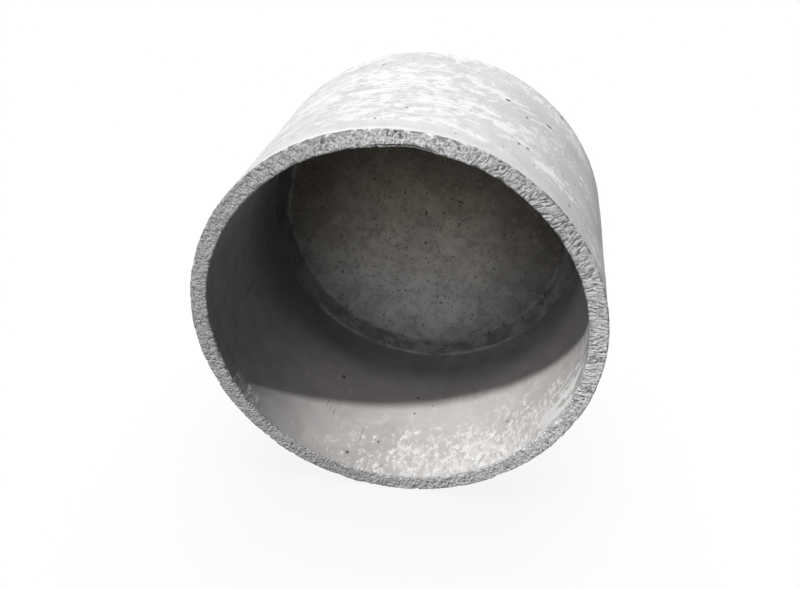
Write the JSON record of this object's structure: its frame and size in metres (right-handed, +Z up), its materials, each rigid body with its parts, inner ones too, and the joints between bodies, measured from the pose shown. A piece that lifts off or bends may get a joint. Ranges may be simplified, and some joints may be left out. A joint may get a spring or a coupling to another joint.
{
  "type": "concrete well ring with closed end",
  "caption": "Short, wide cast concrete ring, closed by a slab at one end and open at the other, lying on its side; used as a well, soakaway or culvert base section.",
  "frame": {"origin": "on the floor, under the middle of the ring's length, where the side of the wall rests", "axes": "+Z up; the ring's axis is level along Y, with the open mouth towards -Y and the closed end towards +Y"},
  "size_m": [1, 0.65, 0.9996],
  "materials": {
    "concrete": "matt cast concrete, smooth on the form faces and rough on the struck rim"
  },
  "bodies": {
    "root": {"concrete_ring": "concrete"}
  },
  "joints": []
}
